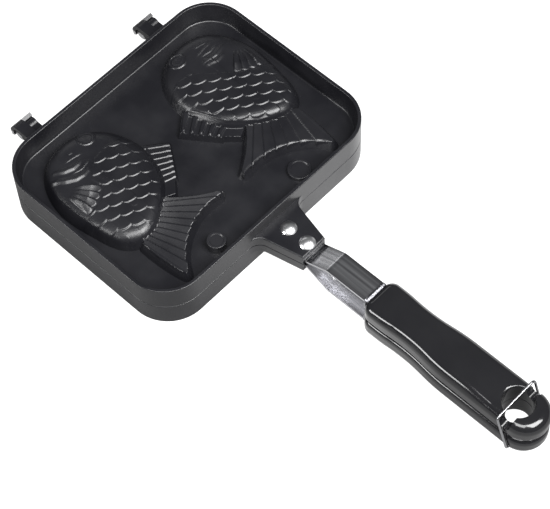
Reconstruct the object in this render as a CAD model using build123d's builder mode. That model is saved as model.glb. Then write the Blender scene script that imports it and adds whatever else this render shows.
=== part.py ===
from build123d import *
import os
from math import asin, atan2, degrees, hypot, radians, tan

# A two-sided taiyaki pan: two equal aluminium castings face to face, hooked together
# at the back, each with a strap and half of the handle, held shut by a wire bail.
# Millimetres. X runs from the hinges to the handle, Z is up from the table.
# Heights called "above the seam" count from the plane where the two halves meet.

# ---- plates ----
plate_length = 143.3        # along X, over the outside walls
plate_width = 180.0         # along Y
plate_height = 16.8         # from the meeting face to the rim
seam_gap = 0.3              # daylight between the two castings
corner_radius = 26.1
rim_width = 2.2
rim_round = 0.5
floor_thickness = 3.05
wall_draft = 8.0            # degrees
floor_round = 1.2
base_round = 0.4

# ---- fish ----
fish_height = 11.6          # top of the body above the tray floor
tail_height = 5.35
tail_slope = 3.2            # how far its sides spread down to the floor
tail_tip_round = 1.0
tail_rays = 8
ray_groove_radius = 1.5
ray_groove_depth = 0.5
fin_height = 4.3
fin_slope = 1.1
fin_ribs = 6
fin_groove_share = 1.3      # a groove's length as a share of its rib's
cavity_shrink = 0.04        # share of the body's width that its wall takes up
cavity_wall = 1.3           # the same for the tail, in millimetres
tall_boss_radius = 5.8
tall_boss_height = 6.4
low_boss_radius = 7.2
low_boss_height = 2.8
boss_x = 57.5
boss_out = 35.0
drawn_length = 143.3        # the fish and the bosses are drawn for a plate of this length
drawn_width = 180.0         # and this width, and stretched with the plate
boss_dish_depth = 0.5
boss_dish_edge = 1.4
boss_dish_slope = 45.0
boss_round = 0.4

# ---- hinges ----
hinge_reach = 15.35         # from the outside wall to the hinge axis
hinge_out = 51.6            # from the middle of the pan to each hinge
hook_radius = 6.8
hook_width = 7.4
hook_wrap = 214.0           # degrees round the pin, from the wall side
pin_radius = 4.0
pin_length = 6.2
pin_clearance = 0.3
hinge_side_gap = 0.2        # each side of the hinge's middle
face_clearance = 0.35       # hinge and bracket undersides stay this far above the seam
pin_web_top = 2.8
pad_reach = 7.2             # how far a pad stands out from the wall
pad_height = 5.0
pad_overhang = 0.8

# ---- brackets, rivets and straps ----
bracket_reach = 30.0        # from the outside wall
bracket_end_half = 9.3
bracket_root_half = 16.1
bracket_top = 7.4           # above the seam
bracket_flare = 8.0
bracket_round = 0.9
end_groove = 0.5            # radius of two fine grooves across the bracket's end,
end_groove_drop = 2.2       # the first this far below its top
end_groove_spacing = 1.4
rivet_spacing = 14.7
rivet_first = 10.2          # from the outside wall
rivet_shank_radius = 2.5
rivet_clearance = 0.05
rivet_head_radius = 5.0
rivet_head_height = 2.3
rivet_tail_radius = 3.8
rivet_tail_height = 1.1
strap_width = 16.0
strap_thickness = 1.5
strap_top = 3.2             # top face in the bracket, above the seam
strap_rise = 7.8            # from there up to the grip
strap_slope = 25.5          # degrees
strap_start = 4.2           # from the outside wall
strap_bend = 31.4           # from the outside wall to the foot of the slope
strap_low_radius = 4.0
strap_high_radius = 6.0
strap_side_clearance = 0.15
strap_fit = 0.05

# ---- grips ----
grip_front = 149.1          # from the middle of the pan
grip_length = 123.7
grip_height = 14.1          # each grip, from the seam
grip_gap = 0.3              # from the seam to the grip's inner face
grip_corner_radius = 6.8
grip_shoulder = 10.5        # places along the grip, from its front,
grip_shoulder_half = 13.4   # and its half width at each
grip_waist = 31.0
grip_waist_half = 12.5
grip_belly = 62.0
grip_half = 14.5
grip_top_round = 6.0
grip_seam_round = 4.0
ferrule_thickness = 1.2
ferrule_half = 8.8
ferrule_margin = 1.1        # above and below, inside the grip's height
ferrule_round = 4.0
tang_length = 83.0          # strap inside the grip
screw_place = 44.0          # from the grip's front
screw_radius = 1.5
screw_clearance = 0.1
screw_head_radius = 2.9
screw_head_height = 1.6
screw_head_sink = 0.6
screw_length = 11.4
screw_slot_width = 0.8
screw_slot_depth = 0.7
hanging_hole_radius = 9.4
hanging_hole_from_end = 19.8
hole_round = 1.0
notch_width = 7.0
notch_from_end = 17.8
notch_bottom = 6.6          # above the seam

# ---- bail ----
wire_radius = 0.8
bail_pivot_from_end = 13.0
bail_pivot_drop = 9.5       # below the seam
bail_top = 15.1             # above the seam
bail_top_from_end = 21.8
bail_side_clearance = 0.45  # between a leg and the grip's side
bail_corner_radius = 2.4
bail_pin_depth = 3.0        # wire inside the grip
bail_fit = 0.1

# ---- cutting and picking ----
run_past = 1.2              # how far cutters and roots run past a face
pick_margin = 0.01          # either side of a place where edges are picked

# ---- places that follow from these ----
wall_x = plate_length / 2
hinge_x = -wall_x - hinge_reach
grip_end = grip_front + grip_length
pan_x = -(hinge_x - hook_radius + grip_end) / 2  # the pan's middle, from the middle of the whole
seam_z = plate_height + seam_gap / 2
face = seam_gap / 2
floor = face + floor_thickness
rim = face + plate_height
turn_over = Axis((0, 0, seam_z), (1, 0, 0))      # a half turn about it swaps the two halves


def level(height):
    """A level plane over the pan's middle, at a height above the seam."""
    return Plane((pan_x, 0, seam_z + height))


def upright(y):
    """An upright plane along X, at y: local x from the pan's middle, local y above the seam."""
    return Plane((pan_x, y, seam_z), x_dir=(1, 0, 0), z_dir=(0, -1, 0))


# ---- fish, drawn for the +Y half: (x, distance out from the pan's middle line) ----
body_core = [(-35.0, 51.0), (8.0, 51.0)]    # the body swells round this line
body_outline = [
    (-59.0, 54.0), (-57.8, 39.5), (-49.5, 26.0), (-32.0, 17.0), (-11.0, 17.0), (8.0, 26.0),
    (20.5, 41.0), (28.3, 61.0), (23.0, 72.0), (2.0, 79.8), (-22.0, 82.6), (-43.0, 76.8), (-54.5, 67.0),
]
# share of the body's width left, share of its height reached
body_profile = [
    (1.0, 0.0), (0.935, 0.37), (0.88, 0.58), (0.78, 0.78), (0.60, 0.93), (0.35, 0.985), (0.06, 1.0),
]
tail_root_in = (12.0, 37.0)
tail_tip_in = (39.6, 0.2)
tail_tip_out = (61.8, 61.8)
tail_root_out = (28.0, 64.8)
tail_inner_bow = (25.0, 24.2)
tail_end_bow = (40.2, 39.5)
tail_outer_bow = (45.0, 64.5)
comb_outline = [(-24.0, 19.0), (-12.0, 4.0), (9.5, 19.2), (6.0, 31.0)]
fin_outline = [(4.0, 28.0), (8.6, 19.8), (17.0, 27.4), (13.0, 36.0)]


def along(start, end, share):
    """A point between two points."""
    return (start[0] + (end[0] - start[0]) * share, start[1] + (end[1] - start[1]) * share)


def fitted(point):
    """A drawn point, moved as the plate is longer or wider than drawn."""
    return (point[0] * plate_length / drawn_length, point[1] * plate_width / drawn_width)


def body_section(share):
    """The body's outline shrunk towards its core line."""
    points = []
    for x, out in body_outline:
        core = (min(max(x, body_core[0][0]), body_core[1][0]), body_core[0][1])
        points.append(fitted(along(core, (x, out), share)))
    return points


def fish_body(shrink, lift):
    """The body's dome on its own, with its foot run down past the face below it."""
    first_share, second_share = body_profile[0][0], body_profile[1][0]
    foot_slope = (first_share - second_share) / (body_profile[1][1] * fish_height)
    heights = [(first_share + foot_slope * run_past, -run_past / fish_height)] + body_profile
    with BuildPart() as body:
        for share, rise in heights:
            with BuildSketch(level(floor + rise * fish_height - lift)):
                with BuildLine():
                    Spline(*body_section(share * (1 - shrink)), periodic=True)
                make_face()
        loft()
    return body.part


def tail_outline():
    """The edges of the tail's flat top, seen from above."""
    with BuildLine() as outline:
        for start, bow, end in ((tail_root_in, tail_inner_bow, tail_tip_in),
                                (tail_tip_in, tail_end_bow, tail_tip_out),
                                (tail_tip_out, tail_outer_bow, tail_root_out)):
            ThreePointArc(fitted(start), fitted(bow), fitted(end))
        Line(fitted(tail_root_out), fitted(tail_root_in))
    return outline.line


def fish_tail(wall, lift):
    """The tail's block: sides that slope up from below the floor, then a flat top."""
    upper_part = wall * tail_height / tail_slope
    shoulder = level(floor + tail_height - lift - upper_part)
    with BuildPart() as tail:
        with BuildSketch(shoulder) as outline:
            add(tail_outline())
            make_face()
            fillet(outline.vertices(), radius=tail_tip_round)
        spread = degrees(atan2(tail_slope, tail_height))
        extrude(amount=-(tail_height - upper_part + run_past), taper=-spread)
        if wall > 0:
            with BuildSketch(shoulder) as outline:
                add(tail_outline())
                make_face()
                fillet(outline.vertices(), radius=tail_tip_round)
                offset(amount=-wall)
            extrude(amount=upper_part)
    return tail.part


def groove(drawn_start, drawn_end, top):
    """A round-bottomed groove cutter between two points of a level top."""
    start, end = fitted(drawn_start), fitted(drawn_end)
    heading = (end[0] - start[0], end[1] - start[1], 0)
    height = seam_z + top + ray_groove_radius - ray_groove_depth
    with BuildPart() as cutter:
        with BuildSketch(Plane((pan_x + start[0], start[1], height), z_dir=heading)):
            Circle(ray_groove_radius)
        extrude(amount=hypot(*heading))
    return cutter.part


def fin_block(outline):
    """A low block with slightly sloping sides."""
    with BuildPart() as block:
        with BuildSketch(level(floor - run_past)):
            with BuildLine():
                Polyline(*[fitted(point) for point in outline], close=True)
            make_face()
            offset(amount=fin_slope, kind=Kind.INTERSECTION)
        extrude(amount=fin_height + run_past, taper=degrees(atan2(fin_slope, fin_height)))
    return block.part


with BuildPart() as rayed_tail:
    add(fish_tail(0, 0))
    for ray in range(1, tail_rays + 1):
        ray_start = along(tail_root_in, tail_root_out, (ray - 0.5) / tail_rays)
        ray_end = along(tail_tip_in, tail_tip_out, (ray - 0.5) / tail_rays)
        add(groove(ray_start, ray_end, floor + tail_height), mode=Mode.SUBTRACT)

with BuildPart() as ribbed_fin:
    add(fin_block(comb_outline))
    for rib in range(1, fin_ribs):
        rib_start = along(comb_outline[0], comb_outline[3], rib / fin_ribs)
        rib_end = along(comb_outline[1], comb_outline[2], rib / fin_ribs)
        groove_end = along(rib_start, rib_end, fin_groove_share)
        add(groove(rib_start, groove_end, floor + fin_height), mode=Mode.SUBTRACT)
    add(fin_block(fin_outline))

with BuildPart() as fish:
    add(fish_body(0, 0))
    add(rayed_tail.part)
    add(ribbed_fin.part)

with BuildPart() as fish_hollow:
    add(fish_body(cavity_shrink, floor_thickness))
    add(fish_tail(cavity_wall, floor_thickness))

# ---- castings ----
hook_bore = pin_radius + pin_clearance
hook_mouth = degrees(asin(face_clearance / hook_bore))
hook_top = hook_radius
axis_at = (hinge_x, 0)
wall_inside = -wall_x + rim_width / 2
strap_rivets = [wall_x + rivet_first, wall_x + rivet_first + rivet_spacing]

with BuildPart() as bracket:
    with BuildSketch(level(face_clearance)) as bracket_outline:
        with BuildLine():
            flare_half = bracket_root_half + 2 * bracket_flare
            Polyline((wall_x, flare_half), (wall_x, bracket_root_half),
                     (wall_x + bracket_reach, bracket_end_half), (wall_x + bracket_reach, -bracket_end_half),
                     (wall_x, -bracket_root_half), (wall_x, -flare_half),
                     (wall_x - rim_width, -flare_half), (wall_x - rim_width, flare_half), close=True)
        make_face()
        at_wall = bracket_outline.vertices().filter_by_position(
            Axis.X, wall_x - pick_margin, wall_x + pick_margin)
        fillet(at_wall.sort_by(Axis.Y)[1:-1], radius=bracket_flare)
    extrude(amount=bracket_top - face_clearance)
    bracket_edges = bracket.edges().filter_by_position(
        Axis.Z, seam_z + bracket_top - pick_margin, seam_z + bracket_top + pick_margin).filter_by_position(
        Axis.X, pan_x + wall_x + bracket_flare, pan_x + wall_x + bracket_reach + pick_margin)
    fillet(bracket_edges, radius=bracket_round)

with BuildPart() as upper_plate:
    # the tray
    with BuildSketch(level(face)):
        RectangleRounded(plate_length, plate_width, corner_radius)
    extrude(amount=plate_height)
    fillet(upper_plate.edges().group_by(Axis.Z)[0], radius=base_round)
    with BuildSketch(level(rim)):
        RectangleRounded(plate_length - 2 * rim_width, plate_width - 2 * rim_width, corner_radius - rim_width)
    extrude(amount=-(plate_height - floor_thickness), taper=wall_draft, mode=Mode.SUBTRACT)
    floor_edges = upper_plate.edges().filter_by_position(
        Axis.Z, seam_z + floor - pick_margin, seam_z + floor + pick_margin)
    fillet(floor_edges, radius=floor_round)
    fillet(upper_plate.edges().group_by(Axis.Z)[-1], radius=rim_round)

    # two fish, back to back, and a boss behind each tail
    add([fish.part, fish.part.mirror(Plane.XZ)])
    for side, radius, height in ((-1, tall_boss_radius, tall_boss_height), (1, low_boss_radius, low_boss_height)):
        with BuildSketch(level(floor - run_past)):
            with Locations(fitted((boss_x, side * boss_out))):
                Circle(radius)
        extrude(amount=height + run_past)
        boss_rim = upper_plate.edges().filter_by(GeomType.CIRCLE).filter_by_position(
            Axis.Z, seam_z + floor + height - pick_margin, seam_z + floor + height + pick_margin)
        fillet(boss_rim, radius=boss_round)
        with BuildSketch(level(floor + height)):
            with Locations(fitted((boss_x, side * boss_out))):
                Circle(radius - boss_dish_edge)
        extrude(amount=-boss_dish_depth, taper=boss_dish_slope, mode=Mode.SUBTRACT)

    # the fish again as hollows in the meeting face
    add([fish_hollow.part, fish_hollow.part.mirror(Plane.XZ)], mode=Mode.SUBTRACT)

    # hinges: a hook over the other plate's pin, and a pin for the other plate's hook
    for middle in (-hinge_out, hinge_out):
        with BuildSketch(upright(middle - hinge_side_gap)):
            with BuildLine():
                hook_back = CenterArc(axis_at, hook_radius, 90, hook_wrap - 90)
                hook_inside = CenterArc(axis_at, hook_bore, hook_mouth, hook_wrap - hook_mouth)
                Line(hook_back @ 1, hook_inside @ 1)
                Polyline(hook_inside @ 0, (wall_inside, face_clearance), (wall_inside, hook_top), hook_back @ 0)
            make_face()
        extrude(amount=hook_width)
        with BuildSketch(upright(middle + hinge_side_gap + pin_length)):
            with Locations(axis_at):
                Circle(pin_radius)
            with BuildLine():
                Polyline((hinge_x, face_clearance), (wall_inside, face_clearance),
                         (wall_inside, pin_web_top), (hinge_x, pin_web_top), close=True)
            make_face()
        extrude(amount=pin_length)
        with BuildSketch(upright(middle + hinge_side_gap + pin_length + pad_overhang)):
            with BuildLine():
                Polyline((-wall_x - pad_reach, face_clearance), (wall_inside, face_clearance),
                         (wall_inside, pad_height), (-wall_x - pad_reach, pad_height), close=True)
            make_face()
        extrude(amount=pin_length + pad_overhang)

    # handle bracket
    add(bracket.part)
    with BuildSketch(upright(bracket_root_half)):
        with Locations((wall_x + bracket_reach, bracket_top - end_groove_drop),
                       (wall_x + bracket_reach, bracket_top - end_groove_drop - end_groove_spacing)):
            Circle(end_groove)
    extrude(amount=2 * bracket_root_half, mode=Mode.SUBTRACT)
    with BuildSketch(level(face_clearance - run_past)):
        with BuildLine():
            pocket_half = strap_width / 2 + strap_side_clearance
            pocket_start = wall_x + strap_start - strap_side_clearance
            pocket_end = wall_x + bracket_reach + run_past
            Polyline((pocket_start, pocket_half), (pocket_end, pocket_half),
                     (pocket_end, -pocket_half), (pocket_start, -pocket_half), close=True)
        make_face()
    extrude(amount=strap_top + strap_fit - face_clearance + run_past, mode=Mode.SUBTRACT)
    with BuildSketch(level(0)):
        with Locations(*[(x, 0) for x in strap_rivets]):
            Circle(rivet_shank_radius + rivet_clearance)
    extrude(amount=bracket_top + run_past, mode=Mode.SUBTRACT)

with BuildPart() as lower_plate:
    add(upper_plate.part.rotate(turn_over, 180))

# ---- straps ----
strap_middle = strap_top - strap_thickness / 2
slope_run = strap_rise / tan(radians(strap_slope))
with BuildPart() as upper_strap:
    with BuildSketch(upright(strap_width / 2)):
        with BuildLine() as strap_path:
            FilletPolyline((wall_x + strap_start, strap_middle), (wall_x + strap_bend, strap_middle),
                           (wall_x + strap_bend + slope_run, strap_middle + strap_rise),
                           (grip_front + tang_length, strap_middle + strap_rise),
                           radius=(strap_low_radius, strap_high_radius))
        trace(line_width=strap_thickness)
    extrude(amount=strap_width)
    with BuildSketch(level(0)):
        with Locations(*[(x, 0) for x in strap_rivets]):
            Circle(rivet_shank_radius + rivet_clearance)
        with Locations((grip_front + screw_place, 0)):
            Circle(screw_radius + screw_clearance)
    extrude(amount=strap_top + strap_rise + run_past, mode=Mode.SUBTRACT)
    strap_ends = upper_strap.edges().filter_by(Axis.Z)
    fillet(strap_ends, radius=strap_thickness)

with BuildPart() as lower_strap:
    add(upper_strap.part.rotate(turn_over, 180))


# ---- rivets ----
def rivet(x):
    """A domed rivet through bracket and strap, its tail closed under the strap."""
    dome_radius = (rivet_head_radius ** 2 + rivet_head_height ** 2) / (2 * rivet_head_height)
    head_top = bracket_top + rivet_head_height
    strap_bottom = strap_top - strap_thickness
    with BuildPart() as fastener:
        with BuildSketch(Plane((pan_x + x, 0, seam_z), x_dir=(1, 0, 0), z_dir=(0, -1, 0))):
            with BuildLine():
                Polyline((0, head_top), (0, strap_bottom - rivet_tail_height),
                         (rivet_tail_radius, strap_bottom - rivet_tail_height), (rivet_tail_radius, strap_bottom),
                         (rivet_shank_radius, strap_bottom), (rivet_shank_radius, bracket_top),
                         (rivet_head_radius, bracket_top))
                RadiusArc((0, head_top), (rivet_head_radius, bracket_top), dome_radius)
            make_face()
        revolve(axis=Axis((pan_x + x, 0, 0), (0, 0, 1)))
    return fastener.part


with BuildPart() as upper_rivet_front:
    add(rivet(strap_rivets[0]))
with BuildPart() as upper_rivet_rear:
    add(rivet(strap_rivets[1]))
with BuildPart() as lower_rivet_front:
    add(upper_rivet_front.part.rotate(turn_over, 180))
with BuildPart() as lower_rivet_rear:
    add(upper_rivet_rear.part.rotate(turn_over, 180))

# ---- grips ----
tang_level = strap_middle + strap_rise
end_x = grip_end - grip_half
screw_x = grip_front + screw_place
hole_x = grip_end - hanging_hole_from_end
notch_x = grip_end - notch_from_end
bail_pivot_x = grip_end - bail_pivot_from_end
shoulder = (grip_front + grip_shoulder, grip_shoulder_half)
waist = (grip_front + grip_waist, grip_waist_half)
belly = (grip_front + grip_belly, grip_half)

with BuildPart() as grip_blank:
    with BuildSketch(level(grip_gap)):
        with BuildLine():
            corner_y = grip_shoulder_half - grip_corner_radius
            Line((grip_front, 0), (grip_front, corner_y))
            CenterArc((grip_front + grip_corner_radius, corner_y), grip_corner_radius, 180, -90)
            Line((grip_front + grip_corner_radius, grip_shoulder_half), shoulder)
            for start, end in ((shoulder, waist), (waist, belly)):
                bow = TangentArc(start, along(start, end, 0.5), tangent=(1, 0))
                TangentArc(along(start, end, 0.5), end, tangent=bow % 1)
            Line(belly, (end_x, grip_half))
            CenterArc((end_x, 0), grip_half, 0, 90)
            mirror(about=Plane.XZ)
        make_face()
    extrude(amount=grip_height - grip_gap)
    fillet(grip_blank.edges().group_by(Axis.Z)[-1], radius=grip_top_round)
    fillet(grip_blank.edges().group_by(Axis.Z)[0], radius=grip_seam_round)
    # slot for the strap's tang
    with BuildSketch(upright(strap_width / 2 + strap_side_clearance)):
        with Locations((grip_front, tang_level)):
            Rectangle(2 * (tang_length + strap_side_clearance), strap_thickness + 2 * strap_fit)
    extrude(amount=strap_width + 2 * strap_side_clearance, mode=Mode.SUBTRACT)
    # hole for the screw, and room for its head in the inner face
    with BuildSketch(level(0)):
        with Locations((screw_x, 0)):
            Circle(screw_radius + screw_clearance)
    extrude(amount=screw_head_sink + screw_length + screw_clearance, mode=Mode.SUBTRACT)
    with BuildSketch(level(0)):
        with Locations((screw_x, 0)):
            Circle(screw_head_radius + screw_clearance)
    extrude(amount=screw_head_sink + screw_head_height, mode=Mode.SUBTRACT)
    # hanging hole
    with BuildSketch(level(0)):
        with Locations((hole_x, 0)):
            Circle(hanging_hole_radius)
    extrude(amount=grip_height + run_past, mode=Mode.SUBTRACT)
    hole_edge = grip_blank.edges().filter_by(GeomType.CIRCLE).filter_by_position(
        Axis.Z, seam_z + grip_height - pick_margin, seam_z + grip_height + pick_margin)
    fillet(hole_edge, radius=hole_round)

with BuildPart() as upper_grip:
    add(grip_blank.part)
    # notch across the hanging hole, for the bail
    with BuildSketch(upright(grip_half + run_past)):
        with Locations((notch_x, notch_bottom + notch_width / 2)):
            Circle(notch_width / 2)
        with Locations((notch_x, notch_bottom + notch_width / 2 + grip_height)):
            Rectangle(notch_width, 2 * grip_height)
    extrude(amount=2 * (grip_half + run_past), mode=Mode.SUBTRACT)

with BuildPart() as lower_grip:
    add(grip_blank.part.rotate(turn_over, 180))
    # a blind hole in each side for the bail's inturned ends
    for side in (-1, 1):
        bottom = side * (grip_half - bail_pin_depth - bail_fit)
        with BuildSketch(Plane((pan_x + bail_pivot_x, bottom, seam_z - bail_pivot_drop), z_dir=(0, side, 0))):
            Circle(wire_radius + bail_fit)
        extrude(amount=bail_pin_depth + run_past, mode=Mode.SUBTRACT)

# ---- ferrules ----
with BuildPart() as upper_ferrule:
    middle_height = (grip_gap + grip_height) / 2
    with BuildSketch(Plane((pan_x + grip_front, 0, seam_z + middle_height), x_dir=(0, 1, 0), z_dir=(-1, 0, 0))):
        RectangleRounded(2 * ferrule_half, grip_height - grip_gap - 2 * ferrule_margin, ferrule_round)
    extrude(amount=ferrule_thickness)
    with BuildSketch(upright(strap_width / 2 + strap_side_clearance)):
        with Locations((grip_front, tang_level)):
            Rectangle(2 * (ferrule_thickness + run_past), strap_thickness + 2 * strap_fit)
    extrude(amount=strap_width + 2 * strap_side_clearance, mode=Mode.SUBTRACT)

with BuildPart() as lower_ferrule:
    add(upper_ferrule.part.rotate(turn_over, 180))

# ---- grip screws ----
with BuildPart() as upper_grip_screw:
    with BuildSketch(level(screw_head_sink)):
        with Locations((screw_x, 0)):
            Circle(screw_head_radius)
    extrude(amount=screw_head_height)
    with BuildSketch(level(screw_head_sink)):
        with Locations((screw_x, 0)):
            Circle(screw_radius)
    extrude(amount=screw_length)
    with BuildSketch(level(screw_head_sink)):
        with Locations((screw_x, 0)):
            Rectangle(screw_slot_width, 2 * screw_head_radius + run_past)
    extrude(amount=screw_slot_depth, mode=Mode.SUBTRACT)

with BuildPart() as lower_grip_screw:
    add(upper_grip_screw.part.rotate(turn_over, 180))

# ---- bail ----
leg_y = grip_half + bail_side_clearance + wire_radius
leg_lean = bail_top_from_end - bail_pivot_from_end
leg_rise = bail_top + bail_pivot_drop
leg_length = hypot(leg_lean, leg_rise)
pin_end_y = grip_half - bail_pin_depth
with BuildPart() as wire_bail:
    with BuildLine(Plane((pan_x + bail_pivot_x, 0, seam_z - bail_pivot_drop),
                         x_dir=(0, 1, 0), z_dir=(leg_rise, 0, leg_lean))):
        wire_path = FilletPolyline((-pin_end_y, 0), (-leg_y, 0), (-leg_y, leg_length),
                                   (leg_y, leg_length), (leg_y, 0), (pin_end_y, 0),
                                   radius=(leg_y - grip_half, bail_corner_radius,
                                           bail_corner_radius, leg_y - grip_half))
    with BuildSketch(Plane(wire_path @ 0, z_dir=wire_path % 0)):
        Circle(wire_radius)
    sweep(path=wire_path)

# ---- write the pieces ----
os.makedirs("parts", exist_ok=True)
pieces = {
    "upper_plate": upper_plate, "lower_plate": lower_plate,
    "upper_strap": upper_strap, "lower_strap": lower_strap,
    "upper_rivet_front": upper_rivet_front, "upper_rivet_rear": upper_rivet_rear,
    "lower_rivet_front": lower_rivet_front, "lower_rivet_rear": lower_rivet_rear,
    "upper_grip": upper_grip, "lower_grip": lower_grip,
    "upper_ferrule": upper_ferrule, "lower_ferrule": lower_ferrule,
    "upper_grip_screw": upper_grip_screw, "lower_grip_screw": lower_grip_screw,
    "wire_bail": wire_bail,
}
for name, piece in pieces.items():
    piece.part.label = name
    export_step(piece.part, f"parts/{name}.step")
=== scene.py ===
import math
import bpy
import numpy as np
from mathutils import Matrix, Vector


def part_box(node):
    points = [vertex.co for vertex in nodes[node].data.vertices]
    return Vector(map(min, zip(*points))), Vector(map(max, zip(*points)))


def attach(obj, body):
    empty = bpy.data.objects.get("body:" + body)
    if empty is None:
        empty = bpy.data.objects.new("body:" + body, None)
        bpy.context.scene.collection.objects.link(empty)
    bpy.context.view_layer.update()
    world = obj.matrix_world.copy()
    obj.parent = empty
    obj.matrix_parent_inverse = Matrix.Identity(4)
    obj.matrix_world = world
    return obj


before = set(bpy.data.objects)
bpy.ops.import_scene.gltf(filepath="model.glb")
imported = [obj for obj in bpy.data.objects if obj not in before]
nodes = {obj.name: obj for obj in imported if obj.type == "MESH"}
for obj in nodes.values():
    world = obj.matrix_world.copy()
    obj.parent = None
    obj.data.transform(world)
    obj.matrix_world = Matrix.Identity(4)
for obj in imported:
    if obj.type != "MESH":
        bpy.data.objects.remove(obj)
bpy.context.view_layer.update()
scene = bpy.context.scene

mm = 0.001

# where the pan lies in the frame
tray = {
    "middleX": -89.5 * mm,
    "seamZ": 16.95 * mm,           # the plane between the two halves
    "halfGap": 0.15 * mm,          # from that plane to a half's meeting face
    "floorZ": 20.15 * mm,          # the upper tray's floor
    "clear": 40 * mm,              # this far above the seam nothing stands
}


def say(words):
    print("scene:", words, flush=True)


# the camera fitted to the photograph, its focal length in pixels of an image this wide
camera = {
    "azimuth": 45.81, "elevation": 58.64, "roll": -2.82,   # degrees
    "distance": 1118.4 * mm,
    "target": Vector((-11.86, -8.16, 0)) * mm,
    "focalPixels": 1898, "imageWidth": 550, "clipStart": 0.05,
}


def addCamera():
    a, e = math.radians(camera["azimuth"]), math.radians(camera["elevation"])
    back = Vector((math.sin(a) * math.cos(e), -math.cos(a) * math.cos(e), math.sin(e)))
    bpy.ops.object.camera_add(location=camera["target"] + back * camera["distance"])
    eye = bpy.context.object
    eye.name = "photoCamera"
    turn = (-back).to_track_quat("-Z", "Y").to_matrix().to_4x4()
    roll = Matrix.Rotation(math.radians(camera["roll"]), 4, "Z")
    eye.matrix_world = Matrix.Translation(eye.location) @ turn @ roll
    eye.data.lens = camera["focalPixels"] / camera["imageWidth"] * eye.data.sensor_width
    eye.data.clip_start = camera["clipStart"]
    scene.camera = eye


studio = {
    "floorSize": 8.0, "floorColor": (0.22, 0.22, 0.22), "floorRoughness": 0.9, "floorGlow": 1.0,
    "sideGlow": 0.95, "sideGlowRange": (-80 * mm, 30 * mm),      # along x + y, brighter to the right
    "gripShade": 0.15, "gripShadeRange": (65 * mm, 115 * mm),    # along x, this share of it under the grips
    "worldColor": (0.96, 0.98, 1.0), "worldStrength": 0.12,
}
lamps = {
    # name: place, point aimed at, size across and along, power, all in metres and watts
    "key": ((0.72, 0.12, 1.2), (-0.06, 0, 0), (0.85, 0.75), 42),
    "second": ((0.30, -0.6, 1.25), (-0.06, 0, 0), (0.7, 0.6), 17),
    "leftBack": ((-1.3, 0.62, 0.6), (0, 0, 0), (0.8, 0.2), 0.7),
    "belly": ((-0.45, -1.0, 0.42), (-0.05, 0, 0), (0.6, 0.25), 8),
}


def addFloor():
    bpy.ops.mesh.primitive_plane_add(size=studio["floorSize"], location=(0, 0, 0))
    floor = bpy.context.object
    floor.name = "studioFloor"
    paper = bpy.data.materials.new("palePaper")
    paper.use_nodes = True
    tree = paper.node_tree
    shader = tree.nodes["Principled BSDF"]
    shader.inputs["Base Color"].default_value = (*studio["floorColor"], 1)
    shader.inputs["Roughness"].default_value = studio["floorRoughness"]
    shader.inputs["Specular IOR Level"].default_value = 0.0
    shader.inputs["Emission Color"].default_value = (1, 1, 1, 1)
    # the camera sees an even glow, and the pan is lit by one that grows to the right
    seen = addNode(tree, "ShaderNodeLightPath")
    even = calculate(tree, "MULTIPLY", seen.outputs["Is Camera Ray"], studio["floorGlow"])
    place = addNode(tree, "ShaderNodeTexCoord")
    parts = addNode(tree, "ShaderNodeSeparateXYZ", None, Vector=place.outputs["Object"])
    toRight = calculate(tree, "ADD", parts.outputs["X"], parts.outputs["Y"])
    side = remap(tree, toRight, *studio["sideGlowRange"], 0.0, studio["sideGlow"])
    under = remap(tree, parts.outputs["X"], *studio["gripShadeRange"], 1.0, studio["gripShade"])
    side = calculate(tree, "MULTIPLY", side, under)
    glow = calculate(tree, "MAXIMUM", even, side)
    tree.links.new(glow, shader.inputs["Emission Strength"])
    floor.data.materials.append(paper)


def addWorld():
    world = bpy.data.worlds.new("studioWorld")
    world.use_nodes = True
    ground = world.node_tree.nodes["Background"]
    ground.inputs["Color"].default_value = (*studio["worldColor"], 1)
    ground.inputs["Strength"].default_value = studio["worldStrength"]
    scene.world = world
    scene.view_settings.view_transform = "Standard"


def addLamps():
    for name, (place, aim, size, power) in lamps.items():
        bpy.ops.object.light_add(type="AREA", location=place)
        lamp = bpy.context.object
        lamp.name = name + "Lamp"
        lamp.data.shape = "RECTANGLE"
        lamp.data.size, lamp.data.size_y = size
        lamp.data.energy = power
        lamp.rotation_euler = (Vector(aim) - Vector(place)).to_track_quat("-Z", "Y").to_euler()


def newGroup(name, inputs, outputs):
    # a node group for materials: its input names and kinds, and its output names, all floats
    group = bpy.data.node_groups.new(name, "ShaderNodeTree")
    for label, kind in inputs:
        group.interface.new_socket(label, in_out="INPUT", socket_type=kind)
    for label in outputs:
        group.interface.new_socket(label, in_out="OUTPUT", socket_type="NodeSocketFloat")
    entry = group.nodes.new("NodeGroupInput")
    leave = group.nodes.new("NodeGroupOutput")
    return group, entry, leave


def addNode(tree, kind, settings=None, **inputs):
    # an input is named by its label, or by i and its number, and holds a value or another node's output
    node = tree.nodes.new(kind)
    for key, value in (settings or {}).items():
        setattr(node, key, value)
    for key, value in inputs.items():
        numbered = key[0] == "i" and key[1:].isdigit()
        socket = node.inputs[int(key[1:]) if numbered else key.replace("_", " ")]
        if isinstance(value, bpy.types.NodeSocket):
            tree.links.new(value, socket)
        else:
            socket.default_value = value
    return node


def calculate(tree, operation, *values):
    inputs = {"i" + str(place): value for place, value in enumerate(values)}
    return addNode(tree, "ShaderNodeMath", {"operation": operation}, **inputs).outputs[0]


def remap(tree, value, low, high, toLow, toHigh):
    node = addNode(tree, "ShaderNodeMapRange", None, i0=value, i1=low, i2=high, i3=toLow, i4=toHigh)
    return node.outputs[0]


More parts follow.
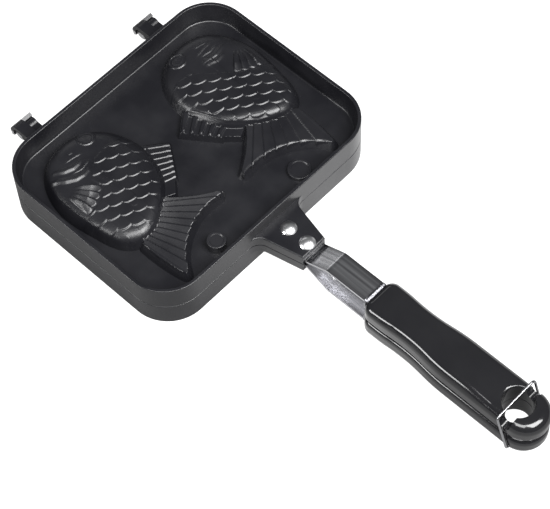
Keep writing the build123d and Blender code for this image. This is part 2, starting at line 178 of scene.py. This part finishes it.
def mixColors(tree, factor, first, second):
    node = tree.nodes.new("ShaderNodeMix")
    node.data_type = "RGBA"
    for label, value in (("Factor", factor), ("A", first), ("B", second)):
        if isinstance(value, bpy.types.NodeSocket):
            tree.links.new(value, node.inputs[label])
        else:
            node.inputs[label].default_value = (*value, 1)
    return node.outputs["Result"]


def addBump(tree, shader, height, depth, strength):
    bump = addNode(tree, "ShaderNodeBump", None, Height=height, Distance=depth, Strength=strength)
    tree.links.new(bump.outputs["Normal"], shader.inputs["Normal"])


sprayed = {"fineDetail": 3.0, "fineRoughness": 0.65, "patchScale": 45.0, "patchDetail": 4.0}
brushed = {"lineScale": 3200.0, "lineDetail": 2.0, "bandScale": 500.0, "bandDetail": 3.0}


def castGrainGroup():
    # fine orange-peel of a sprayed coat: a height for the bump, and a slow patchiness
    inputs = [("Vector", "NodeSocketVector"), ("Grain Size", "NodeSocketFloat")]
    group, entry, leave = newGroup("castGrain", inputs, ["Height", "Patches"])
    scale = calculate(group, "DIVIDE", 1.0, entry.outputs["Grain Size"])
    fine = addNode(group, "ShaderNodeTexNoise", None, Vector=entry.outputs["Vector"], Scale=scale,
                   Detail=sprayed["fineDetail"], Roughness=sprayed["fineRoughness"])
    slow = addNode(group, "ShaderNodeTexNoise", None, Vector=entry.outputs["Vector"],
                   Scale=sprayed["patchScale"], Detail=sprayed["patchDetail"])
    group.links.new(fine.outputs["Fac"], leave.inputs["Height"])
    group.links.new(slow.outputs["Fac"], leave.inputs["Patches"])
    return group


def brushMarksGroup():
    # long fine scratches along X
    inputs = [("Vector", "NodeSocketVector"), ("Stretch", "NodeSocketFloat")]
    group, entry, leave = newGroup("brushMarks", inputs, ["Height", "Tone"])
    parts = addNode(group, "ShaderNodeSeparateXYZ", None, Vector=entry.outputs["Vector"])
    along = calculate(group, "DIVIDE", parts.outputs["X"], entry.outputs["Stretch"])
    down = calculate(group, "DIVIDE", parts.outputs["Z"], entry.outputs["Stretch"])
    joined = addNode(group, "ShaderNodeCombineXYZ", None, X=along, Y=parts.outputs["Y"], Z=down)
    lines = addNode(group, "ShaderNodeTexNoise", None, Vector=joined.outputs[0],
                    Scale=brushed["lineScale"], Detail=brushed["lineDetail"])
    bands = addNode(group, "ShaderNodeTexNoise", None, Vector=joined.outputs[0],
                    Scale=brushed["bandScale"], Detail=brushed["bandDetail"])
    group.links.new(lines.outputs["Fac"], leave.inputs["Height"])
    group.links.new(bands.outputs["Fac"], leave.inputs["Tone"])
    return group


castGrain = castGrainGroup()
brushMarks = brushMarksGroup()


def newMaterial(name, group, **values):
    # a material with one shared group, placed by the object's own coordinates
    made = bpy.data.materials.new(name)
    made.use_nodes = True
    tree = made.node_tree
    coords = addNode(tree, "ShaderNodeTexCoord")
    marks = tree.nodes.new("ShaderNodeGroup")
    marks.node_tree = group
    tree.links.new(coords.outputs["Object"], marks.inputs["Vector"])
    for key, value in values.items():
        marks.inputs[key.replace("_", " ")].default_value = value
    return made, tree, tree.nodes["Principled BSDF"], coords, marks


noiseMiddle = (0.3, 0.7)               # most values of a noise lie between these
coating = {
    "dark": (0.0052, 0.0052, 0.0068), "worn": (0.0088, 0.0088, 0.0106), "wornPatches": (0.35, 0.65),
    "rough": (0.30, 0.37), "grainSize": 0.45 * mm, "bumpDepth": 0.05 * mm, "bumpStrength": 0.6,
    "bareMetal": (0.78, 0.78, 0.79),
    "sideways": 0.9,                   # how far a side face's normal points along Y, at least
    "hingeFrom": -162.2 * mm,          # the hinge parts lie on the -X side of this
    "bareBelow": 17.0 * mm,            # their side faces are worn bare on the lower half
}


def coatedCasting():
    made, tree, shader, coords, grain = newMaterial("coatedCasting", castGrain,
                                                    Grain_Size=coating["grainSize"])
    patches = remap(tree, grain.outputs["Patches"], *coating["wornPatches"], 0.0, 1.0)
    coat = mixColors(tree, patches, coating["dark"], coating["worn"])
    # the hinge parts' machined side faces are bare metal
    place = addNode(tree, "ShaderNodeSeparateXYZ", None, Vector=coords.outputs["Object"])
    facing = addNode(tree, "ShaderNodeSeparateXYZ", None, Vector=coords.outputs["Normal"])
    sideways = calculate(tree, "ABSOLUTE", facing.outputs["Y"])
    sideFace = calculate(tree, "GREATER_THAN", sideways, coating["sideways"])
    hinge = calculate(tree, "LESS_THAN", place.outputs["X"], coating["hingeFrom"])
    under = calculate(tree, "LESS_THAN", place.outputs["Z"], coating["bareBelow"])
    bare = calculate(tree, "MULTIPLY", sideFace, hinge)
    bare = calculate(tree, "MULTIPLY", bare, under)
    tree.links.new(mixColors(tree, bare, coat, coating["bareMetal"]), shader.inputs["Base Color"])
    tree.links.new(bare, shader.inputs["Metallic"])
    rough = remap(tree, grain.outputs["Patches"], *noiseMiddle, *coating["rough"])
    tree.links.new(rough, shader.inputs["Roughness"])
    addBump(tree, shader, grain.outputs["Height"], coating["bumpDepth"], coating["bumpStrength"])
    return made


steelStrip = {
    "stretch": 60.0, "darkLines": (0.40, 0.40, 0.42), "lightLines": (0.70, 0.70, 0.72),
    # the colour at the long edges, its range and its share are painted shade
    "paintedEdgeShade": (0.22, 0.22, 0.23), "edgeRange": (5.0 * mm, 7.4 * mm), "edgeShare": 0.75,
    "rough": (0.17, 0.26), "bumpDepth": 0.02 * mm, "bumpStrength": 0.5,
}


def strapSteel():
    made, tree, shader, coords, marks = newMaterial("strapSteel", brushMarks, Stretch=steelStrip["stretch"])
    tone = remap(tree, marks.outputs["Tone"], *noiseMiddle, 0.0, 1.0)
    place = addNode(tree, "ShaderNodeSeparateXYZ", None, Vector=coords.outputs["Object"])
    across = calculate(tree, "ABSOLUTE", place.outputs["Y"])
    # painted shade: darker towards both long edges
    edge = remap(tree, across, *steelStrip["edgeRange"], 0.0, steelStrip["edgeShare"])
    lines = mixColors(tree, tone, steelStrip["darkLines"], steelStrip["lightLines"])
    tree.links.new(mixColors(tree, edge, lines, steelStrip["paintedEdgeShade"]), shader.inputs["Base Color"])
    shader.inputs["Metallic"].default_value = 1.0
    rough = remap(tree, marks.outputs["Tone"], *noiseMiddle, *steelStrip["rough"])
    tree.links.new(rough, shader.inputs["Roughness"])
    addBump(tree, shader, marks.outputs["Height"], steelStrip["bumpDepth"], steelStrip["bumpStrength"])
    return made


polish = {"grainSize": 0.9 * mm, "lighter": 1.12, "smoother": 0.8, "rougher": 1.25, "bumpStrength": 0.5}
metals = {
    # piece: material, colour, roughness, depth of its marks
    "ferrule": ("ferruleSteel", (0.17, 0.17, 0.18), 0.34, 0.01 * mm),
    "rivet": ("rivetMetal", (0.86, 0.86, 0.87), 0.28, 0.01 * mm),
    "grip_screw": ("screwSteel", (0.6, 0.6, 0.6), 0.3, 0.02 * mm),
    "bail": ("wireSteel", (0.32, 0.32, 0.33), 0.22, 0.01 * mm),
}


def polishedMetal(name, color, roughness, markDepth):
    made, tree, shader, _, grain = newMaterial(name, castGrain, Grain_Size=polish["grainSize"])
    lighter = tuple(min(1.0, c * polish["lighter"]) for c in color)
    tree.links.new(mixColors(tree, grain.outputs["Patches"], color, lighter), shader.inputs["Base Color"])
    shader.inputs["Metallic"].default_value = 1.0
    rough = remap(tree, grain.outputs["Patches"], *noiseMiddle,
                  roughness * polish["smoother"], roughness * polish["rougher"])
    tree.links.new(rough, shader.inputs["Roughness"])
    addBump(tree, shader, grain.outputs["Height"], markDepth, polish["bumpStrength"])
    return made


plastic = {
    "dark": (0.006, 0.006, 0.007), "light": (0.011, 0.011, 0.012), "rough": (0.09, 0.14),
    "grainSize": 2.5 * mm, "bumpDepth": 0.03 * mm, "bumpStrength": 0.25,
}


def gripPlastic():
    made, tree, shader, _, grain = newMaterial("gripPlastic", castGrain, Grain_Size=plastic["grainSize"])
    color = mixColors(tree, grain.outputs["Patches"], plastic["dark"], plastic["light"])
    tree.links.new(color, shader.inputs["Base Color"])
    rough = remap(tree, grain.outputs["Patches"], *noiseMiddle, *plastic["rough"])
    tree.links.new(rough, shader.inputs["Roughness"])
    addBump(tree, shader, grain.outputs["Height"], plastic["bumpDepth"], plastic["bumpStrength"])
    return made


finishes = {"plate": coatedCasting(), "strap": strapSteel()}
for piece, look in metals.items():
    finishes[piece] = polishedMetal(*look)
finishes["grip"] = gripPlastic()       # last, because a screw's name holds this word too


def finishFor(name):
    return next(finish for word, finish in finishes.items() if word in name)


def dressNodes():
    for name, node in nodes.items():
        node.data.materials.clear()
        node.data.materials.append(finishFor(name))


def smooth(x):
    x = np.clip(x, 0, 1)
    return x * x * (3 - 2 * x)


def nearLine(u, v, line):
    # distance to a drawn line, which side of it, and how far along it each place lies
    best = np.full(u.shape, 1e9)
    side, along = np.zeros(u.shape), np.zeros(u.shape)
    lengths = [math.dist(a, b) for a, b in zip(line, line[1:])]
    gone, total = 0.0, sum(lengths)
    for (a, b), length in zip(zip(line, line[1:]), lengths):
        du, dv = (b[0] - a[0]) / length, (b[1] - a[1]) / length
        t = np.clip((u - a[0]) * du + (v - a[1]) * dv, 0, length)
        d = np.hypot(u - a[0] - t * du, v - a[1] - t * dv)
        closer = d < best
        best = np.where(closer, d, best)
        side = np.where(closer, np.sign((u - a[0]) * dv - (v - a[1]) * du), side)
        along = np.where(closer, (gone + t) / total, along)
        gone += length
    return best, side, along


def inside(u, v, corners):
    # how far inside a closed outline each place lies, negative outside it
    odd = np.zeros(u.shape, bool)
    for a, b in zip(corners, corners[1:] + corners[:1]):
        crosses = (a[1] > v) != (b[1] > v)
        cut = a[0] + (v - a[1]) * (b[0] - a[0]) / ((b[1] - a[1]) or 1e-9)
        odd ^= crosses & (u < cut)
    distance = nearLine(u, v, corners + corners[:1])[0]
    return np.where(odd, distance, -distance)


def ridge(u, v, line, rise, width, taper):
    distance, _, along = nearLine(u, v, line)
    ends = smooth(along / taper) * smooth((1 - along) / taper) if taper else 1.0
    return rise * ends * smooth(1 - distance / width)


# The relief is drawn in millimetres on each half's back: u runs from the middle of the pan towards
# the handle, v outwards from its middle line, so one drawing serves both sides of the pan.
fish = {
    "uRange": (-61.0, 67.0), "vRange": (0.0, 85.0), "cell": 0.36, "mouldCells": 1.4, "smoothAngle": 55,
    "bodyTop": 11.6, "overTop": 0.5,
    "lift": 0.06, "sink": 0.08, "footBand": (0.25, 0.9), "bareBelow": 0.12,
    "liningDepth": 0.9, "hollowFrom": 0.4,
    "crestFrom": 10.3, "crestRounds": 60,
    "boss": (57.5, 35.0, 9.5),                                     # u, v, radius left bare
    "eye": (-47.5, 38.5), "eyeRings": ((5.3, 0.75, 0.7), (3.3, 0.55, 0.2)),        # radius, width, rise
    "rearLine": [(-21.1, 18.4), (-8.4, 23), (4.5, 28.1), (12, 34.6),
                 (17.8, 41.3), (23.5, 50.8), (25.1, 57.9), (26.3, 64.1)],
    "dorsalLine": [(-26.4, 13.7), (-14.7, 18.1), (-5.6, 21.3), (3.1, 25.5)],
    # rise, half width and the share of the line over which each end tapers
    "stroke": (0.42, 0.85, 0.3), "rearRidge": (0.5, 0.9, 0.0), "dorsalRidge": (0.5, 0.8, 0.1),
}
gill = {"slowWidth": 2.6, "bow": 0.5, "leastWidth": 0.01}
scales = {
    "tip": (-9.3, 43.9), "alongStep": 9.2, "rowShift": 5.5, "rowStep": 7.3,
    "rows": (-5, 7), "steps": (-9, 9), "uRange": (-40, 36), "vRange": (10, 90),
    "shear": 0.115, "shearFrom": 50, "halfWidth": 4.4, "bulge": 1.9, "bow": 3.0,
    "length": 10.5, "edge": 0.8, "sideEdge": 0.12, "height": 0.7, "outlineFade": 1.4,
    "rearOutline": [(10, 84), (29, 70), (27, 58), (25, 50), (19, 41),
                    (13, 34), (5, 28), (-8, 23), (-21, 18), (-33, 17)],
}
fan = {
    "origin": (-34.0, 74.4), "angles": (-47.0, 1.0), "ribs": 4, "radii": (8.0, 26.5),
    "web": 0.5, "tooth": 2.0, "toothEdge": 0.2, "endBow": 1.6, "rootFade": 7.0, "endEdge": 0.8,
    "sideFade": 2.0,                                               # degrees
    "fallFrom": 0.76, "endFall": 0.8, "coverFrom": 0.05, "scalesUnder": 0.25,
}
sharing = {"rounds": 12, "pull": 0.7, "lowest": -0.2, "highest": 1.2}
comb = {
    "corners": ((-24.0, 19.0), (-12.0, 4.0), (9.5, 19.2), (6.0, 31.0)),
    "area": [(-29, 22), (-12, -2), (13, 19), (8, 34)],
    "top": 4.3, "evenBelow": 0.6, "reliefOver": 0.3,
    "tooth": (0.12, 0.78), "toothEdge": 0.16, "sideOver": 0.01, "sideEdge": 0.02,     # shares of the width
    "rootAt": 0.1, "rootEdge": 0.06, "endAt": 1.02, "endEdge": 0.04,                  # shares of the length
    "dot": 0.5, "dotAt": (0.45, 0.86), "dotShrink": (4.0, 9.0),
}
tail = {
    "corners": ((12.0, 37.0), (39.6, 0.2), (61.8, 61.8), (28.0, 64.8)),       # root, both tips, root
    "endBow": (40.2, 39.5),
    "area": [(11, 36), (40, -4), (66, 64), (27, 67)],
    "top": 5.35, "groovesDownTo": 4.6, "reliefUnder": 2.6, "reliefOver": 0.15,
    "height": 1.2, "step": 1.5, "fluteEdge": 0.14, "sideOver": 0.02, "sideEdge": 0.03, "rootFade": 0.1,
    "endOut": 0.3, "topOut": 0.1, "outerFlutes": 0.4, "stepAbove": 0.3,
}
# each fish: its side of the pan, its comb's teeth and their height, its tail's flutes and how softly they
# end, the slant of its scales' free edges, where its scales begin, its gill plates (crest line, rise, fall
# width) and its fine strokes
fishes = {
    "near": {
        "side": -1, "teeth": 7, "toothHeight": 0.5, "flutes": 10, "endFade": 0.3, "tilt": -0.36,
        "scaleStart": [(-33.2, 22.0), (-34.7, 36.2), (-33.2, 46.0), (-29.4, 51.4), (-23.5, 57.5),
                       (-13.7, 56.0), (-8.4, 64.1), (-6.4, 82.0)],
        "gills": [([(-44.4, 69.2), (-42.3, 67), (-39, 63.6), (-37.1, 58.9), (-37.4, 54.9), (-38.8, 50.7)],
                   1.1, 2.4),
                  ([(-41.2, 74.2), (-38.7, 71.9), (-33.7, 67.7), (-30.1, 62.7), (-29.4, 57.9), (-30.3, 52.3)],
                   1.1, 2.6)],
        "strokes": [[(-43.4, 61.5), (-42.6, 56), (-41.8, 51), (-40.7, 46.3)],
                    [(-34.6, 63.9), (-32.8, 55.5), (-34.8, 45.4)],
                    [(-46.3, 54.6), (-45, 51)], [(-54, 56.6), (-53.2, 55)]],
    },
    "far": {
        "side": 1, "teeth": 5, "toothHeight": 1.15, "flutes": 7, "endFade": 1.4, "tilt": 0.24,
        "scaleStart": [(-34.5, 19.4), (-36.9, 27.2), (-34.7, 37.4), (-26, 45.6), (-19.4, 52.9), (-15.3, 56.6),
                       (-8.4, 66.1), (-5.4, 82.0)],
        "gills": [([(-36.2, 66.3), (-33.2, 57.7), (-34.6, 46.9)], 0.95, 2.4),
                  ([(-31.0, 61.5), (-29.9, 55), (-32.6, 47.4)], 0.8, 2.2)],
        "strokes": [[(-41.6, 63.5), (-42.2, 58.4), (-40.6, 47.2)], [(-44.2, 62.5), (-45, 58), (-46.4, 50)],
                    [(-38.6, 64.5), (-37.6, 57), (-38.8, 48.5)], [(-54, 56.6), (-53.2, 55)]],
    },
}


def gillPlate(u, v, line, rise, width):
    # rises slowly from the head side, then falls away towards the tail
    distance, side, along = nearLine(u, v, line)
    bow = np.sin(np.pi * np.clip(along, 0, 1)) ** gill["bow"]
    fall = np.clip(1 - distance / (width * bow + gill["leastWidth"]), 0, 1)
    slow = smooth(1 - distance / gill["slowWidth"])
    return rise * bow * np.where(side > 0, fall, slow)


def scaleRelief(u, v, start, tilt):
    # each scale is highest beside its free edge, on the tail side, and sinks towards the head
    shear, half = scales["shear"], scales["halfWidth"]
    (uLow, uHigh), (vLow, vHigh) = scales["uRange"], scales["vRange"]
    sheared = u - shear * (v - scales["shearFrom"])
    height = np.zeros(u.shape)
    for row in range(*scales["rows"]):
        for step in range(*scales["steps"]):
            tipU = scales["tip"][0] + scales["alongStep"] * step + scales["rowShift"] * row
            tipV = scales["tip"][1] + scales["rowStep"] * row
            if not (uLow < tipU < uHigh and vLow < tipV < vHigh):
                continue
            across = (v - tipV) / half
            bow = scales["bulge"] * np.abs(across) ** scales["bow"]
            edge = tipU - shear * (tipV - scales["shearFrom"]) - bow + tilt * half * across
            back = edge - sheared
            tile = np.clip(1 - back / scales["length"], 0, 1) * np.clip(back / scales["edge"], 0, 1)
            height = np.maximum(height, tile * smooth((1 - np.abs(across)) / scales["sideEdge"]))
    area = start + scales["rearOutline"]
    return scales["height"] * height * smooth(inside(u, v, area) / scales["outlineFade"])


def fanRelief(u, v):
    du, dv = u - fan["origin"][0], v - fan["origin"][1]
    radius, angle = np.hypot(du, dv), np.degrees(np.arctan2(dv, du))
    low, high = fan["angles"]
    share = (angle - low) / (high - low) * fan["ribs"]
    tooth = 1 - (share - np.floor(share))                          # each rib slopes down towards the belly
    tooth *= smooth((1 - tooth) / fan["toothEdge"])
    end = fan["radii"][1] - fan["endBow"] * (2 * np.abs(share - np.floor(share) - 0.5)) ** 2
    rise = smooth((radius - fan["radii"][0]) / fan["rootFade"]) * smooth((end - radius) / fan["endEdge"])
    sides = smooth((angle - low) / fan["sideFade"]) * smooth((high - angle) / fan["sideFade"])
    out = np.clip(radius / fan["radii"][1], 0, 1)
    fall = fan["endFall"] * (out - fan["fallFrom"]) / (1 - fan["fallFrom"])
    grow = np.minimum(out / fan["fallFrom"], 1 - fall)
    return sides * rise * grow * (fan["web"] + fan["tooth"] * tooth)


def combShares(u, v, corners):
    # the place across the teeth and along them, 0 at the body and 1 at the outer ends
    across = np.full(u.shape, 0.5)
    a, b, c, d = (np.array(corner) for corner in corners)
    for _ in range(sharing["rounds"]):
        startU, startV = a[0] + (d[0] - a[0]) * across, a[1] + (d[1] - a[1]) * across
        endU, endV = b[0] + (c[0] - b[0]) * across, b[1] + (c[1] - b[1]) * across
        du, dv = endU - startU, endV - startV
        off = ((u - startU) * dv - (v - startV) * du) / np.hypot(du, dv)
        wide = ((d[0] - a[0]) * dv - (d[1] - a[1]) * du) / np.hypot(du, dv)
        across = np.clip(across + sharing["pull"] * off / wide, sharing["lowest"], sharing["highest"])
    along = ((u - startU) * du + (v - startV) * dv) / (du * du + dv * dv)
    return across, along


def combRelief(u, v, teeth, height):
    across, along = combShares(u, v, comb["corners"])
    part = across * teeth - np.floor(across * teeth)
    (low, high), edge = comb["tooth"], comb["toothEdge"]
    bar = smooth((part - low) / edge) * smooth((high - part) / edge)
    span = smooth((across + comb["sideOver"]) / comb["sideEdge"]) * smooth((1.0 - across) / comb["sideEdge"])
    root = smooth((along - comb["rootAt"]) / comb["rootEdge"])
    end = smooth((comb["endAt"] - along) / comb["endEdge"])
    (dotAcross, dotAlong), (shrinkAcross, shrinkAlong) = comb["dotAt"], comb["dotShrink"]
    dots = smooth(1 - np.hypot((part - dotAcross) * shrinkAcross, (along - dotAlong) * shrinkAlong))
    return span * (root * end) * height * (bar + comb["dot"] * dots)


def tailRelief(u, v, flutes, endFade):
    across, along = combShares(u, v, tail["corners"])
    part = across * flutes - np.floor(across * flutes)
    crown = smooth(part / tail["fluteEdge"]) * (1 - part)          # each flute leans towards the belly side
    over, edge = tail["sideOver"], tail["sideEdge"]
    span = smooth((across + over) / edge) * smooth((1 + over - across) / edge)
    root = smooth((along + tail["rootFade"]) / tail["rootFade"])
    centerU, centerV, radius = endCircle()
    left = tail["step"] * (1 - part) - radius + np.hypot(u - centerU, v - centerV)
    return span * tail["height"] * crown * root * np.clip(left / endFade, 0, 1)


def eyeRelief(u, v):
    distance = np.hypot(u - fish["eye"][0], v - fish["eye"][1])
    height = np.zeros(u.shape)
    for radius, width, rise in fish["eyeRings"]:
        height = np.maximum(height, rise * smooth(1 - np.abs(distance - radius) / width))
    return height


def reliefOver(u, v, rise, drawing):
    # rise is the casting's own height above the tray's floor, in millimetres
    body = np.maximum(scaleRelief(u, v, drawing["scaleStart"], drawing["tilt"]), eyeRelief(u, v))
    for line, height, width in drawing["gills"]:
        body = np.maximum(body, gillPlate(u, v, line, height, width))
    for line in drawing["strokes"]:
        body = np.maximum(body, ridge(u, v, line, *fish["stroke"]))
    fanned = fanRelief(u, v)
    body = np.where(fanned > fan["coverFrom"], np.maximum(fanned, fan["scalesUnder"] * body), body)
    body = np.maximum(body, ridge(u, v, fish["rearLine"], *fish["rearRidge"]))
    teeth = combRelief(u, v, drawing["teeth"], drawing["toothHeight"])
    teeth = np.maximum(teeth, ridge(u, v, fish["dorsalLine"], *fish["dorsalRidge"]))
    onComb = (rise < comb["top"] + comb["reliefOver"]) & inComb(u, v)
    flutes = tailRelief(u, v, drawing["flutes"], drawing["endFade"])
    onTail = (rise < tail["top"] + tail["reliefOver"]) & (rise > tail["groovesDownTo"] - tail["reliefUnder"])
    return np.where(onComb, teeth, np.where(onTail & inTail(u, v), flutes, body))


def endCircle():
    # the round that the tail's forked end is cut to
    (ax, ay), (bx, by), (cx, cy) = tail["corners"][1], tail["endBow"], tail["corners"][2]
    d = 2 * (ax * (by - cy) + bx * (cy - ay) + cx * (ay - by))
    ux = ((ax**2 + ay**2) * (by - cy) + (bx**2 + by**2) * (cy - ay) + (cx**2 + cy**2) * (ay - by)) / d
    uy = ((ax**2 + ay**2) * (cx - bx) + (bx**2 + by**2) * (ax - cx) + (cx**2 + cy**2) * (bx - ax)) / d
    return ux, uy, math.hypot(ax - ux, ay - uy)


def evenTops(u, v, rise, flutes):
    # the flat tops of tail and comb, with the tail's end standing out by a step at each flute
    centerU, centerV, radius = endCircle()
    fromEnd = radius - np.hypot(u - centerU, v - centerV)
    across = combShares(u, v, tail["corners"])[0] * flutes
    reach = tail["step"] * (1 - (across - np.floor(across)))
    onFlutes = (across > tail["outerFlutes"]) & (across < flutes - tail["outerFlutes"])
    atEnd = (fromEnd > -tail["endOut"]) & (fromEnd < reach) & onFlutes & (rise > tail["stepAbove"])
    onTop = (rise > tail["groovesDownTo"]) & (rise < tail["top"]) & (fromEnd < tail["topOut"])
    rise = np.where(atEnd | (onTop & inTail(u, v)), tail["top"], rise)
    onComb = (rise > comb["top"] - comb["evenBelow"]) & (rise < comb["top"]) & inComb(u, v)
    return np.where(onComb, comb["top"], rise)


def inTail(u, v):
    return inside(u, v, tail["area"]) > 0


def inComb(u, v):
    return inside(u, v, comb["area"]) > 0


def roundCrest(rise, columns):
    # the ridge along the top of the back, rounded off
    crest = rise.reshape(-1, columns).copy()
    for _ in range(fish["crestRounds"]):
        around = (crest[:-2, 1:-1] + crest[2:, 1:-1] + crest[1:-1, :-2] + crest[1:-1, 2:]) / 4
        crest[1:-1, 1:-1] = np.where(crest[1:-1, 1:-1] > fish["crestFrom"], around, crest[1:-1, 1:-1])
    return crest.ravel()


def layGrid(name, middle, size, cell, target, upwards):
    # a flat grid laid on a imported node, down from above it or up from the seam into its hollow
    bpy.ops.object.select_all(action="DESELECT")
    startZ = tray["seamZ"] if upwards else tray["seamZ"] + tray["clear"]
    bpy.ops.mesh.primitive_grid_add(x_subdivisions=int(size[0] / cell), y_subdivisions=int(size[1] / cell),
                                    size=mm, location=(*middle, startZ))
    laid = bpy.context.object
    laid.name = name
    bpy.ops.transform.resize(value=(*size, 1))
    bpy.ops.object.transform_apply(location=True, rotation=True, scale=True)
    lay = laid.modifiers.new("layOnNode", "SHRINKWRAP")
    lay.wrap_method, lay.target = "PROJECT", target
    lay.use_project_z = True
    lay.use_negative_direction, lay.use_positive_direction = not upwards, upwards
    bpy.ops.object.modifier_apply(modifier=lay.name)
    places = np.empty(len(laid.data.vertices) * 3)
    laid.data.vertices.foreach_get("co", places)
    return laid, places.reshape(-1, 3)


def laySkin(name, drawing, hollow):
    (uLow, uHigh), (vLow, vHigh) = fish["uRange"], fish["vRange"]
    middle = (tray["middleX"] + (uLow + uHigh) / 2 * mm, drawing["side"] * (vLow + vHigh) / 2 * mm)
    cell = fish["cell"] * (fish["mouldCells"] if hollow else 1.0)
    skin, places = layGrid(name, middle, (uHigh - uLow, vHigh - vLow), cell, nodes["upper_plate"], hollow)
    u, v = (places[:, 0] - tray["middleX"]) / mm, drawing["side"] * places[:, 1] / mm
    wall = tray["floorZ"] - tray["seamZ"] - tray["halfGap"] if hollow else 0.0
    rise = (places[:, 2] - tray["floorZ"] + wall) / mm
    low, high = fish["footBand"]
    fade = smooth((rise - low) / (high - low))
    relief = reliefOver(u, v, rise, drawing)
    if hollow:
        places[:, 2] -= (fish["lift"] + fade * (fish["liningDepth"] - relief)) * mm
        off = rise < fish["hollowFrom"]
    else:
        columns = int(np.sum(np.isclose(places[:, 1], places[0, 1])))
        even = np.maximum(evenTops(u, v, rise, drawing["flutes"]), roundCrest(rise, columns))
        offset = fade * (fish["lift"] + relief) - (1 - fade) * fish["sink"]
        places[:, 2] = tray["floorZ"] + (even + offset) * mm
        bossU, bossV, bossRadius = fish["boss"]
        off = (rise < fish["bareBelow"]) | (rise > fish["bodyTop"] + fish["overTop"])
        off |= np.hypot(u - bossU, v - bossV) < bossRadius
    movePoints(skin, places)
    trimPiece(skin, off)
    if hollow:
        bpy.ops.object.mode_set(mode="EDIT")
        bpy.ops.mesh.select_all(action="SELECT")
        bpy.ops.mesh.flip_normals()
        bpy.ops.object.mode_set(mode="OBJECT")
    finishBoth(skin, name.replace("upper", "lower"), fish["smoothAngle"], finishes["plate"])


def movePoints(piece, places):
    piece.data.vertices.foreach_set("co", places.ravel())
    piece.data.update()


def trimPiece(piece, off):
    # cuts away the points that off marks
    bpy.ops.object.mode_set(mode="EDIT")
    bpy.ops.mesh.select_mode(type="VERT")
    bpy.ops.mesh.select_all(action="DESELECT")
    bpy.ops.object.mode_set(mode="OBJECT")
    piece.data.vertices.foreach_set("select", off)
    bpy.ops.object.mode_set(mode="EDIT")
    bpy.ops.mesh.delete(type="VERT")
    bpy.ops.object.mode_set(mode="OBJECT")


def turnOver(piece, name):
    # the same piece on the other half: a half turn about the X axis through the seam
    other = piece.copy()
    other.data = piece.data.copy()
    other.name = name
    scene.collection.objects.link(other)
    up = Matrix.Translation((0, 0, tray["seamZ"]))
    down = Matrix.Translation((0, 0, -tray["seamZ"]))
    other.data.transform(up @ Matrix.Rotation(math.pi, 4, "X") @ down)
    other.data.update()
    return other


def finishPiece(piece, body, finish):
    piece.data.materials.clear()
    piece.data.materials.append(finish)
    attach(piece, body)


def finishBoth(piece, lowerName, smoothAngle, finish):
    bpy.ops.object.shade_smooth_by_angle(angle=math.radians(smoothAngle))
    finishPiece(piece, "lid", finish)
    finishPiece(turnOver(piece, lowerName), "base", finish)


def makeRelief():
    for label, drawing in fishes.items():
        laySkin("upper_" + label + "FishRelief", drawing, False)
        laySkin("upper_" + label + "MouldRelief", drawing, True)
        say(label + " fish relief laid")


# the grips' crowned backs, in millimetres
gripCrown = {
    "xRange": (60.0, 157.0), "halfWidth": 14.6, "beyond": 1, "cell": 0.7, "smoothAngle": 40,
    "rise": 1.25, "fade": 22.0, "dip": 0.05, "dipUnder": 0.15, "shoulder": 5.0,
    "keepBelow": 4.6, "keepAbove": 1, "thinnest": 0.004,
}


def crownGrips():
    (xLow, xHigh), half = gripCrown["xRange"], gripCrown["halfWidth"]
    middle, size = ((xLow + xHigh) / 2 * mm, 0), (xHigh - xLow, 2 * half)
    crown, places = layGrid("upperGripCrown", middle, size, gripCrown["cell"], nodes["upper_grip"], False)
    x, y, z = (places / mm).T
    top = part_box("upper_grip")[1].z / mm
    # nothing at the foot of the rounded edge
    shoulder = smooth((z - (top - gripCrown["shoulder"])) / gripCrown["shoulder"])
    ends = smooth((x - xLow) / gripCrown["fade"]) * smooth((xHigh - x) / gripCrown["fade"])
    bow = np.clip(1 - (y / (half + gripCrown["beyond"])) ** 2, 0, 1)
    rise = gripCrown["rise"] * bow * shoulder * ends
    dip = gripCrown["dip"] * (1 - smooth(rise / gripCrown["dipUnder"]))
    places[:, 2] += (rise - dip) * mm
    movePoints(crown, places)
    offTop = (z < top - gripCrown["keepBelow"]) | (z > top + gripCrown["keepAbove"])
    trimPiece(crown, offTop | (rise < gripCrown["thinnest"]))
    finishBoth(crown, "lowerGripCrown", gripCrown["smoothAngle"], finishes["grip"])


addCamera()
say("camera placed")
addFloor()
addWorld()
addLamps()
say("floor and lamps placed")
dressNodes()
say("nodes dressed")
makeRelief()
crownGrips()
say("grips crowned")
